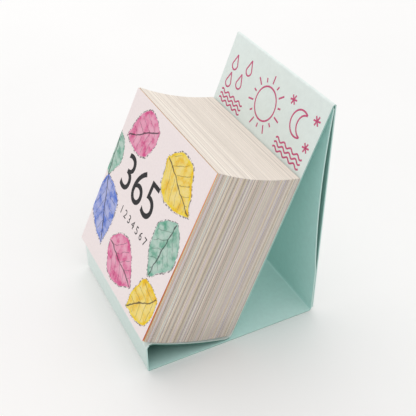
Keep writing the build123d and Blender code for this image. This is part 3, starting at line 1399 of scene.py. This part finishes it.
@dataclass
class MonthBlock:
    """A month of leaves, with the glue film over their heads and the number on its first day."""

    month: str
    leaves: int
    hue: Colour
    axes: PadAxes
    rows: list[LeafRow]
    side_margin: float = 0.17 * MM
    print_room: float = 0.05 * MM
    paper_share: float = 0.88
    bends: int = 4
    film_depth: float = 0.14 * MM
    film_ridge: float = 0.035 * MM
    film_inset: float = 0.1 * MM
    film_show: float = 0.4
    film_columns: int = 6
    ink_share: float = 0.55
    thin_share: float = 0.4

    def __post_init__(self) -> None:
        """Read the block's corners from its solid."""
        low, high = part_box(f"{self.month}_leaves")
        self.width = high.x - low.x
        points = sorted(self.axes.split(p) for p in side_profile(f"{self.month}_leaves"))
        middle = (min(p[1] for p in points) + max(p[1] for p in points)) / 2
        self.feet = [p for p in points if p[1] < middle]
        heads = [p for p in points if p[1] >= middle]
        self.rear_head, self.fore_head = heads[0], heads[-1]

    def build(self) -> list[bpy.types.Object]:
        """Model the month's pieces.

        Returns:
            The leaves, the film and the first day's number.
        """
        body = f"{self.month}_block"
        leaves = stand_for(self.stack(), f"{self.month}_leaves", body)
        film = stand_for(self.film(), f"{self.month}_glue", body)
        return [leaves, film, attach(self.number(), body)]

    def foot_rise(self, out: float) -> float:
        """Give the height of the block's foot.

        Args:
            out: The distance out from the easel.

        Returns:
            The height.
        """
        for (near_out, near_up), (far_out, far_up) in zip(self.feet, self.feet[1:]):
            if out <= far_out:
                past, run = max(0.0, out - near_out), far_out - near_out
                return near_up + (far_up - near_up) * past / max(run, LEAST_RUN)
        return self.feet[-1][1]

    def line(self, share: float) -> tuple[tuple[float, float], tuple[float, float]]:
        """Give a leaf's line through the block.

        Args:
            share: Its share of the block's thickness, from the back.

        Returns:
            Its foot and its head, each out and up.
        """
        foot_out = self.feet[0][0] + (self.feet[-1][0] - self.feet[0][0]) * share
        head_out = self.rear_head[0] + (self.fore_head[0] - self.rear_head[0]) * share
        head_up = self.rear_head[1] + (self.fore_head[1] - self.rear_head[1]) * share
        return (foot_out, self.foot_rise(foot_out)), (head_out, head_up)

    def blank(self) -> bpy.types.Object:
        """Model one leaf of unit size, with cuts along its height so that it can bow.

        Returns:
            The leaf.
        """
        leaf = Bench.added(bpy.ops.mesh.primitive_cube_add, "leaf_blank", size=1.0)
        with Bench.editing(leaf, Pick.EDGES, lambda edge: CardStand.is_upright(leaf, edge)):
            bpy.ops.mesh.subdivide(number_cuts=self.bends)
        leaf.data.uv_layers[0].name = "leaf"
        for loop in leaf.data.loops:
            corner = leaf.data.vertices[loop.vertex_index].co
            leaf.data.uv_layers["leaf"].data[loop.index].uv = (corner.x + 0.5, corner.z + 0.5)
        leaf.data.color_attributes.new("leaf_tint", "FLOAT_COLOR", "CORNER")
        return leaf

    def stack(self) -> bpy.types.Object:
        """Lay copies of the leaf one in front of the other and join them.

        Returns:
            The block of leaves.
        """
        blank = self.blank()
        laid = [self.laid(blank, index, row) for index, row in enumerate(self.rows)]
        bpy.data.objects.remove(blank)
        piece = Bench.join(laid, f"{self.month}_day_leaves")
        piece.data.materials.append(LeafFinish(self.axes.lean, self.hue, f"{self.month}_paper").material())
        return piece

    def laid(self, blank: bpy.types.Object, index: int, row: LeafRow) -> bpy.types.Object:
        """Lay one copy of the leaf in its place.

        Args:
            blank: The leaf of unit size.
            index: Its place from the back of the block.
            row: How it lies.

        Returns:
            The laid leaf.
        """
        mesh = blank.data.copy()
        thick = (self.fore_head[0] - self.rear_head[0] - self.print_room) / self.leaves
        room = 1 - self.print_room / (self.fore_head[0] - self.rear_head[0])
        (foot_out, foot_up), (head_out, head_up) = self.line((index + 0.5) / self.leaves * room)
        for vertex in mesh.vertices:
            rise = vertex.co.z + 0.5
            out = foot_out + (head_out - foot_out) * rise
            out += -vertex.co.y * thick * self.paper_share + row.bow * math.sin(math.pi * rise)
            up = foot_up + row.lift + (head_up - foot_up - row.lift) * rise
            across = vertex.co.x * (self.width - 2 * self.side_margin) + row.shift
            vertex.co = self.axes.place(across, out, up)
        self.colour(blank.data, mesh, row.tint)
        leaf = bpy.data.objects.new("leaf", mesh)
        bpy.context.scene.collection.objects.link(leaf)
        return leaf

    @staticmethod
    def colour(blank: bpy.types.Mesh, mesh: bpy.types.Mesh, tint: Colour) -> None:
        """Tint a leaf's edges, and mark its faces as paper that takes print.

        Args:
            blank: The leaf of unit size, whose normals are square.
            mesh: The laid leaf.
            tint: Its edges' tint.
        """
        paper = EdgeTint.CREAM.value
        colours = mesh.color_attributes["leaf_tint"].data
        for face in blank.polygons:
            is_face = abs(face.normal.y) > FACING
            for loop in face.loop_indices:
                colours[loop].color = (*paper[:3], 1.0) if is_face else (*tint[:3], 0.0)

    def film(self) -> bpy.types.Object:
        """Model the glue film, ridged over each leaf's head.

        Returns:
            The film.
        """
        (low_out, low_up), (high_out, high_up) = self.film_ends()
        piece = Bench.added(
            bpy.ops.mesh.primitive_grid_add, f"{self.month}_glue_film",
            x_subdivisions=self.film_columns, y_subdivisions=2 * self.leaves, size=1.0,
        )
        slope = Vector((high_out - low_out, high_up - low_up)).normalized()
        rng = random.Random(self.month)
        swell = [rng.uniform(0, self.film_ridge) for _ in range(2 * self.leaves + 1)]
        tints = piece.data.color_attributes.new("leaf_tint", "FLOAT_COLOR", "POINT")
        for vertex in piece.data.vertices:
            share = 0.5 - vertex.co.y
            row = round(share * 2 * self.leaves)
            crest = self.film_depth + (swell[row] if row % 2 else -self.film_ridge)
            out = low_out + (high_out - low_out) * share - slope.y * crest
            up = low_up + (high_up - low_up) * share + slope.x * crest
            leaf = self.rows[min(row // 2, self.leaves - 1)]
            tints.data[vertex.index].color = self.through_film(leaf.tint)
            vertex.co = self.axes.place(-vertex.co.x * self.width, out, up)
        Bench.apply(piece, "SOLIDIFY", thickness=self.film_depth, offset=-1.0)
        with Bench.editing(piece, Pick.VERTICES):
            bpy.ops.mesh.normals_make_consistent(inside=False)
        piece.data.materials.append(FilmFinish().material())
        return piece

    def through_film(self, tint: Colour) -> Colour:
        """Give the film's colour over a leaf: paler or darker as the leaf's edge is.

        Args:
            tint: The leaf's tint.

        Returns:
            The colour.
        """
        edge, usual = sum(tint[:3]), sum(EdgeTint.BEIGE.value[:3])
        tone = 1 + self.film_show * (edge / usual - 1)
        return (*(min(1.0, channel * tone) for channel in GLUE_TINT[:3]), 1.0)

    def film_ends(self) -> tuple[tuple[float, float], tuple[float, float]]:
        """Give the film's ends on the leaves' heads.

        Returns:
            The rear end and the front end, each out and up.
        """
        points = sorted(self.axes.split(p) for p in side_profile(f"{self.month}_glue"))
        ends = points[0][0] + self.film_inset, points[-1][0] - self.film_inset
        rear, fore = ((end - self.rear_head[0]) / (self.fore_head[0] - self.rear_head[0]) for end in ends)
        return self.line(rear)[1], self.line(fore)[1]

    def face(self) -> PrintFace:
        """Give the printed face of the block's first day.

        Returns:
            The face.
        """
        room = 1 - self.print_room / (self.fore_head[0] - self.rear_head[0])
        foot, head = (self.axes.place(0, *ends) for ends in self.line(room))
        up = (head - foot).normalized()
        return PrintFace(foot, up, Vector((0, -up.z, up.y)))

    def number(self) -> bpy.types.Object:
        """Print the month's first day.

        Returns:
            The number.
        """
        ink = blend_colours(self.hue, BLACK_INK.ink, self.ink_share)
        finish = InkFinish(f"{self.month}_ink", ink, blend_colours(ink, self.hue, self.thin_share))
        return Numeral(f"{self.month}_number", "1").on(self.face(), finish)


@dataclass(frozen=True)
class Numeral:
    """A plain number printed on a face, as a skin of ink.

    Args:
        name: The piece's name.
        text: The number.
        size: The size of its type.
        across: Where its middle goes, to the right of the face's middle.
        rise: Where its foot goes, above the face's foot.
        depth: Half the thickness of the ink.
        curve_steps: How finely its curves are drawn.
    """

    name: str
    text: str
    size: float = 34 * MM
    across: float = 0.0
    rise: float = 35 * MM
    depth: float = 0.012 * MM
    curve_steps: int = 6

    def on(self, face: PrintFace, finish: Finish) -> bpy.types.Object:
        """Print the number.

        Args:
            face: The face that takes it.
            finish: Its ink.

        Returns:
            The number.
        """
        piece = Bench.added(bpy.ops.object.text_add, self.name)
        piece.data.body = self.text
        piece.data.align_x = "CENTER"
        piece.data.size = self.size
        piece.data.extrude = self.depth
        piece.data.resolution_u = self.curve_steps
        bpy.ops.object.convert(target="MESH")
        piece = bpy.context.active_object
        piece.matrix_world = face.matrix(self.across, self.rise, self.depth)
        Bench.settle(piece)
        piece.data.materials.clear()
        piece.data.materials.append(finish.material())
        return piece


# The loose sheets in front


COVER_NUMERALS = (
    Numeral("cover_number", "365", size=25 * MM, across=-7.5 * MM, rise=41 * MM),
    Numeral("cover_week", "1 2 3 4 5 6 7", size=5.8 * MM, across=-0.5 * MM, rise=31.5 * MM),
)

# How much of a day leaf's print shows through to its back
SHOW_THROUGH = 0.15


@dataclass
class LooseSheet:
    """A sheet that lifts by itself about its glued edge: a day leaf or the cover."""

    node: str
    slot: str
    axes: PadAxes
    bow: float = 0.12 * MM
    bow_reach: float = 0.3
    columns: int = 26
    lines: int = 28
    head_round: float = 0.45
    head_steps: int = 3

    def __post_init__(self) -> None:
        """Read the sheet's foot, direction and size from its solid."""
        low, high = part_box(self.node)
        self.width = high.x - low.x
        points = sorted(side_profile(self.node), key=lambda p: p.dot(self.axes.up))
        rear, fore = sorted(points[:2], key=lambda p: p.dot(self.axes.out))
        self.thickness = (fore - rear).length
        self.out = (fore - rear).normalized()
        self.up = Vector((0, self.out.z, -self.out.y))
        self.foot = fore
        self.height = max((p - fore).dot(self.up) for p in points)

    def build(self, front: Finish, back: Finish) -> bpy.types.Object:
        """Model the sheet, with the middle of its foot bowed back a little.

        Args:
            front: The finish of its front and its cut edges.
            back: The finish of its back.

        Returns:
            The sheet.
        """
        piece = Bench.added(
            bpy.ops.mesh.primitive_grid_add, f"{self.node}_paper",
            x_subdivisions=self.columns, y_subdivisions=self.lines, size=1.0,
        )
        piece.data.uv_layers[0].name = "leaf"
        for vertex in piece.data.vertices:
            across, rise = vertex.co.x, vertex.co.y + 0.5
            low = max(0.0, 1 - rise / self.bow_reach)
            behind = self.bow * low * low * (1 - 4 * across * across)
            flat = self.foot + RIGHT * across * self.width + self.up * rise * self.height
            vertex.co = flat - self.out * behind
        Bench.apply(piece, "SOLIDIFY", thickness=self.thickness, offset=-1.0)
        with Bench.editing(piece, Pick.EDGES, lambda edge: self.on_head(piece, edge)):
            reach = self.head_round * self.thickness
            bpy.ops.mesh.bevel(offset=reach, segments=self.head_steps, affect="EDGES")
        Bench.smooth(piece)
        piece.data.materials.append(front.material())
        tints = piece.data.color_attributes.new("leaf_tint", "FLOAT_COLOR", "POINT")
        for point in tints.data:
            point.color = GLUE_TINT
        self.coat(piece, FilmFinish(), self.up)
        self.coat(piece, back, -self.out)
        return stand_for(piece, self.node, self.node)

    def on_head(self, piece: bpy.types.Object, edge: bpy.types.MeshEdge) -> bool:
        """Say whether an edge runs along the sheet's head, which turns in the glue.

        Args:
            piece: The sheet.
            edge: The edge.

        Returns:
            Whether it does.
        """
        first, second = (piece.data.vertices[i].co for i in edge.vertices)
        rise = min((end - self.foot).dot(self.up) for end in (first, second))
        return rise > self.height - self.thickness and abs(first.x - second.x) > self.thickness

    @staticmethod
    def coat(piece: bpy.types.Object, finish: Finish, way: Vector) -> None:
        """Give the faces that look one way a finish of their own.

        Args:
            piece: The sheet.
            finish: The finish.
            way: The way that they look.
        """
        mesh = piece.data
        mesh.materials.append(finish.material())
        for polygon in mesh.polygons:
            if polygon.normal.dot(way) > FACING:
                polygon.material_index = len(mesh.materials) - 1

    def printed(self, numeral: Numeral, ink: Finish) -> bpy.types.Object:
        """Print a number on the sheet's front, riding with it."""
        piece = numeral.on(PrintFace(self.foot, self.up, self.out), ink)
        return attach(piece, self.node)


# The print on the header


Place = tuple[float, float]


@dataclass
class HeaderPrint:
    """Line drawing on the header: a sun over waves, with the moon, stars and drops beside it.

    The drawing's places and radii are in millimetres, right and up from the middle of the pad's top edge.
    Rays, the drop's height and the moon's bite are shares of the radius, and arcs start and run in turns.
    """

    axes: PadAxes
    line: float = 0.85 * MM
    depth: float = 0.03 * MM
    sun_middle: Place = (-0.5, 15.4)
    sun_radius: float = 7.8
    sun_rays: int = 14
    ray_foot: float = 1.22
    ray_tips: tuple[float, float] = (1.48, 1.72)
    wave_runs: tuple[Place, ...] = ((-36.0, -16.0), (15.0, 36.0))
    wave_rises: tuple[float, ...] = (2.4, 4.6, 6.8)
    wave_swing: float = 0.7
    wave_crests: int = 4
    wave_steps: int = 8
    drop_places: tuple[Place, ...] = ((-32.5, 20.5), (-24.5, 14.0), (-33.0, 11.5), (-20.5, 22.5))
    drop_radius: float = 2.2
    drop_height: float = 2.3
    drop_arc: tuple[float, float] = (0.02, -0.54)
    moon_middle: Place = (25.5, 18.5)
    moon_radius: float = 6.0
    moon_bite: float = 0.62
    moon_arc: tuple[float, float] = (0.16, 0.68)
    star_places: tuple[Place, ...] = ((35.0, 24.5), (35.0, 12.0), (16.5, 25.5))
    star_radius: float = 2.3
    star_strokes: int = 3
    star_turn: float = 0.03

    def build(self) -> bpy.types.Object:
        """Draw the strokes and lay them on the header.

        Returns:
            The print.
        """
        strokes = self.sun()
        strokes += [self.wave(*run, rise) for run in self.wave_runs for rise in self.wave_rises]
        strokes += [self.drop(Vector(place)) for place in self.drop_places]
        strokes += self.moon()
        for place in self.star_places:
            strokes += self.star(Vector(place))
        piece = Bench.join([self.stroke(points) for points in strokes], "header_print")
        piece.data.materials.append(PINK_INK.material())
        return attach(piece, "stand")

    def sun(self) -> list[list[Vector]]:
        """Draw a ring with long and short rays round it.

        Returns:
            The strokes.
        """
        middle = Vector(self.sun_middle)
        strokes = [self.arc(middle, self.sun_radius, 0.0, 1.0, steps=36)]
        for ray in range(self.sun_rays):
            turns = (ray + 0.5) / self.sun_rays
            ends = (self.ray_foot, self.ray_tips[ray % 2])
            strokes.append([middle + self.polar(self.sun_radius * end, turns) for end in ends])
        return strokes

    def moon(self) -> list[list[Vector]]:
        """Draw a crescent of two arcs that meet at its tips.

        Returns:
            The strokes.
        """
        middle = Vector(self.moon_middle)
        outer = self.arc(middle, self.moon_radius, *self.moon_arc, steps=20)
        bulge = middle + Vector((self.moon_radius * self.moon_bite, 0))
        tip = outer[0] - bulge
        spread = math.atan2(tip.y, tip.x) / math.tau
        return [outer, self.arc(bulge, tip.length, spread, 1 - 2 * spread, steps=16)]

    def drop(self, middle: Vector) -> list[Vector]:
        """Draw a raindrop: a round foot that runs up to a point."""
        tip = middle + Vector((0, self.drop_radius * self.drop_height))
        return [tip, *self.arc(middle, self.drop_radius, *self.drop_arc, steps=14), tip]

    def star(self, middle: Vector) -> list[list[Vector]]:
        """Draw a star of crossed strokes, turned a little.

        Args:
            middle: Its middle.

        Returns:
            The strokes.
        """
        strokes = []
        for stroke in range(self.star_strokes):
            spoke = self.polar(self.star_radius, stroke / (2 * self.star_strokes) + self.star_turn)
            strokes.append([middle - spoke, middle + spoke])
        return strokes

    def wave(self, start: float, end: float, rise: float) -> list[Vector]:
        """Draw a waved line.

        Args:
            start: Where its left end is.
            end: Where its right end is.
            rise: How high its middle runs.

        Returns:
            Its points.
        """
        points = []
        steps = self.wave_crests * self.wave_steps
        for step in range(steps + 1):
            swing = self.wave_swing * math.sin(math.tau * step / self.wave_steps)
            points.append(Vector((start + (end - start) * step / steps, rise + swing)))
        return points

    def arc(self, middle: Vector, radius: float, start: float, sweep: float, steps: int) -> list[Vector]:
        """Draw an arc.

        Args:
            middle: Its middle.
            radius: Its radius.
            start: Where it starts, as a share of a turn.
            sweep: How far it runs, as a share of a turn.
            steps: How many straight runs it has.

        Returns:
            Its points.
        """
        return [middle + self.polar(radius, start + sweep * step / steps) for step in range(steps + 1)]

    @staticmethod
    def polar(radius: float, turns: float) -> Vector:
        """Give the offset at a radius and a share of a turn."""
        return Vector((radius * math.cos(math.tau * turns), radius * math.sin(math.tau * turns)))

    def stroke(self, points: list[Vector]) -> bpy.types.Object:
        """Draw one stroke as a flattened round line on the header.

        Args:
            points: Its points.

        Returns:
            The stroke.
        """
        curve = bpy.data.curves.new("stroke", "CURVE")
        curve.dimensions = "3D"
        curve.bevel_depth = self.line / 2
        curve.bevel_resolution = 1
        curve.use_fill_caps = True
        spline = curve.splines.new("POLY")
        spline.points.add(len(points) - 1)
        for target, point in zip(spline.points, points):
            target.co = (point.x * MM, point.y * MM, 0, 1)
        piece = bpy.data.objects.new("stroke", curve)
        bpy.context.scene.collection.objects.link(piece)
        Bench.focus(piece)
        bpy.ops.object.convert(target="MESH")
        piece = bpy.context.active_object
        flat = Matrix.Diagonal((1, 1, self.depth / self.line, 1))
        piece.matrix_world = self.face().matrix(0, 0, 0) @ flat
        Bench.settle(piece)
        return piece

    def face(self) -> PrintFace:
        """Give the header's face above the pad.

        Returns:
            The face.
        """
        face_out = min(self.axes.split(p)[0] for p in side_profile("upper_pad_tape"))
        pad_top = max(self.axes.split(p)[1] for p in side_profile("backing_sheet"))
        return PrintFace(self.axes.place(0, face_out, pad_top), self.axes.up, self.axes.out)


# The pieces that stay hidden at rest


@dataclass
class HiddenPieces:
    """The backing card and the tapes, whose solids are right as they stand."""

    board: BoardFinish = BoardFinish()
    tape: TapeFinish = TapeFinish()
    boards: tuple[str, ...] = ("backing_sheet",)
    tapes: tuple[str, ...] = ("flap_tape", "lower_pad_tape", "upper_pad_tape")

    def dress(self) -> list[bpy.types.Object]:
        """Give each node its finish.

        Returns:
            The nodes.
        """
        nodes = []
        for names, finish in ((self.boards, self.board), (self.tapes, self.tape)):
            for name in names:
                node = frame["nodes"][name]
                node.data.materials.clear()
                node.data.materials.append(finish.material())
                nodes.append(node)
        return nodes


# The studio


@dataclass(frozen=True)
class FloorFinish(Finish):
    """Pale seamless paper of the studio floor."""

    name: str = "studio_floor"
    paper: Colour = srgb(249, 248, 247)
    mottle_scale: float = 6.0
    mottle: tuple[float, float] = (0.985, 1.0)
    roughness: float = 0.9

    def wire(self, w: Wiring, shader: bpy.types.Node) -> None:
        """Near-white paper with the faintest unevenness.

        Args:
            w: The material's wiring.
            shader: Its shader.
        """
        shade = w.ramp(w.noise(w.by_object(), self.mottle_scale), *w.usual_tones, *self.mottle)
        self.surface(w, shader, w.tinted(self.paper, shade), self.roughness, specular=0.1)


@dataclass
class Studio:
    """Floor, light and camera of the photograph."""

    azimuth: float = 63.36
    elevation: float = 36.71
    camera_place: tuple[float, float, float] = (0.25001, -0.11814, 0.25645)
    focal_pixels: float = 739.33
    picture_side: int = 416
    sensor: float = 36.0
    near_clip: float = 0.01
    ambient: float = 0.86
    floor_side: float = 6.0
    floor_cells: int = 8
    base_gap: float = 0.2 * MM
    lamp_place: tuple[float, float, float] = (-0.65, 0.15, 1.3)
    lamp_target: tuple[float, float, float] = (0.0, 0.0, 0.05)
    lamp_side: float = 1.6
    lamp_power: float = 5.2

    def build(self) -> None:
        """Set up the studio."""
        self.floor()
        self.world()
        self.lamp()
        self.camera()
        bpy.context.scene.view_settings.view_transform = "Standard"

    def floor(self) -> None:
        """Lay the floor a hair under the base, which does not lie quite flat on it."""
        piece = Bench.added(
            bpy.ops.mesh.primitive_grid_add, "studio_floor", size=self.floor_side,
            x_subdivisions=self.floor_cells, y_subdivisions=self.floor_cells, location=(0, 0, -self.base_gap),
        )
        piece.data.materials.append(FloorFinish().material())

    def world(self) -> None:
        """White where the camera or a reflection sees it, and a plain level of light elsewhere."""
        world = bpy.data.worlds.new("studio_world")
        bpy.context.scene.world = world
        world.use_nodes = True
        w = Wiring(world.node_tree)
        path = w.node("ShaderNodeLightPath")
        seen = w.math("MAXIMUM", path.outputs["Is Camera Ray"], path.outputs["Is Glossy Ray"])
        seen = w.math("MAXIMUM", seen, path.outputs["Is Transmission Ray"])
        level = w.math("ADD", w.times(seen, 1.0 - self.ambient), self.ambient)
        sky = w.node("ShaderNodeBackground", {"Color": (1, 1, 1, 1), "Strength": level})
        w.node("ShaderNodeOutputWorld", {"Surface": sky.outputs[0]})

    def lamp(self) -> None:
        """Hang a square soft box, turned to the calendar."""
        lamp = Bench.added(bpy.ops.object.light_add, "key_light", type="AREA", location=self.lamp_place)
        lamp.data.shape = "SQUARE"
        lamp.data.size = self.lamp_side
        lamp.data.energy = self.lamp_power
        way = Vector(self.lamp_target) - Vector(self.lamp_place)
        lamp.rotation_euler = way.to_track_quat("-Z", "Y").to_euler()

    def camera(self) -> None:
        """Put the camera where the photograph was taken from."""
        camera = Bench.added(bpy.ops.object.camera_add, "photograph_camera", location=self.camera_place)
        camera.rotation_euler = (math.radians(90 - self.elevation), 0, math.radians(self.azimuth))
        camera.data.sensor_width = self.sensor
        camera.data.lens = self.sensor * self.focal_pixels / self.picture_side
        camera.data.clip_start = self.near_clip
        bpy.context.scene.camera = camera


def build_pad(axes: PadAxes) -> list[bpy.types.Object]:
    """Build the month blocks from the back of the pad to its front.

    Args:
        axes: The pad's directions.

    Returns:
        Their pieces.
    """
    jogger = LeafJogger(random.Random(LEAF_SEED))
    pieces = []
    for (month, days), tone, hue in zip(MONTH_DAYS.items(), MONTH_TONES, MONTH_HUES):
        is_front = month == "january"
        leaves = days - LOOSE_LEAVES if is_front else days
        rows = jogger.rows(leaves, tone, FRONT_TINTS if is_front else ())
        pieces += MonthBlock(month, leaves, hue, axes, rows).build()
    return pieces


def build_sheets(axes: PadAxes) -> list[bpy.types.Object]:
    """Build the loose day leaves and the cover, with their numbers.

    Args:
        axes: The pad's directions.

    Returns:
        Their pieces.
    """
    second = DaySheetFinish("second_day_paper", EdgeTint.ORANGE.value, srgb(250, 226, 190))
    first = DaySheetFinish("first_day_paper", EdgeTint.RED.value, srgb(250, 200, 180))
    pale = InkFinish("pale_ink", srgb(250, 240, 226), srgb(244, 214, 190))
    pieces = []
    for number, front in ((2, second), (1, first)):
        paper = blend_colours(EdgeTint.CREAM.value, front.ground, SHOW_THROUGH)
        sheet = LooseSheet(f"day_sheet_{number}", "leaf_paper", axes)
        pieces.append(sheet.build(front, BackPaperFinish(f"day_{number}_back_paper", paper)))
        pieces.append(sheet.printed(Numeral(f"day_{number}_number", str(number)), pale))
    cover = LooseSheet("cover_sheet", "cover_paper", axes)
    painted = CoverFinish(cover.width, cover.height)
    pieces.append(cover.build(painted, BackPaperFinish("cover_back_paper", painted.paper)))
    pieces += [cover.printed(numeral, BLACK_INK) for numeral in COVER_NUMERALS]
    return pieces


def main() -> None:
    """Build the calendar's looks round the frame, piece by piece."""
    logging.basicConfig(level=logging.INFO, format="%(name)s: %(message)s")
    for effect in (FibreEffect(), WashEffect(), DayPrintEffect()):
        effect.build()
    axes = PadAxes.read()
    pieces = CardStand(CardFinish(*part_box("ledge_panel"))).build(axes)
    pieces += build_pad(axes)
    pieces += build_sheets(axes)
    pieces.append(HeaderPrint(axes).build())
    pieces += HiddenPieces().dress()
    Studio().build()
    for piece in pieces:
        log.info("%s: %d faces", piece.name, len(piece.data.polygons))


if __name__ == "__main__":
    main()
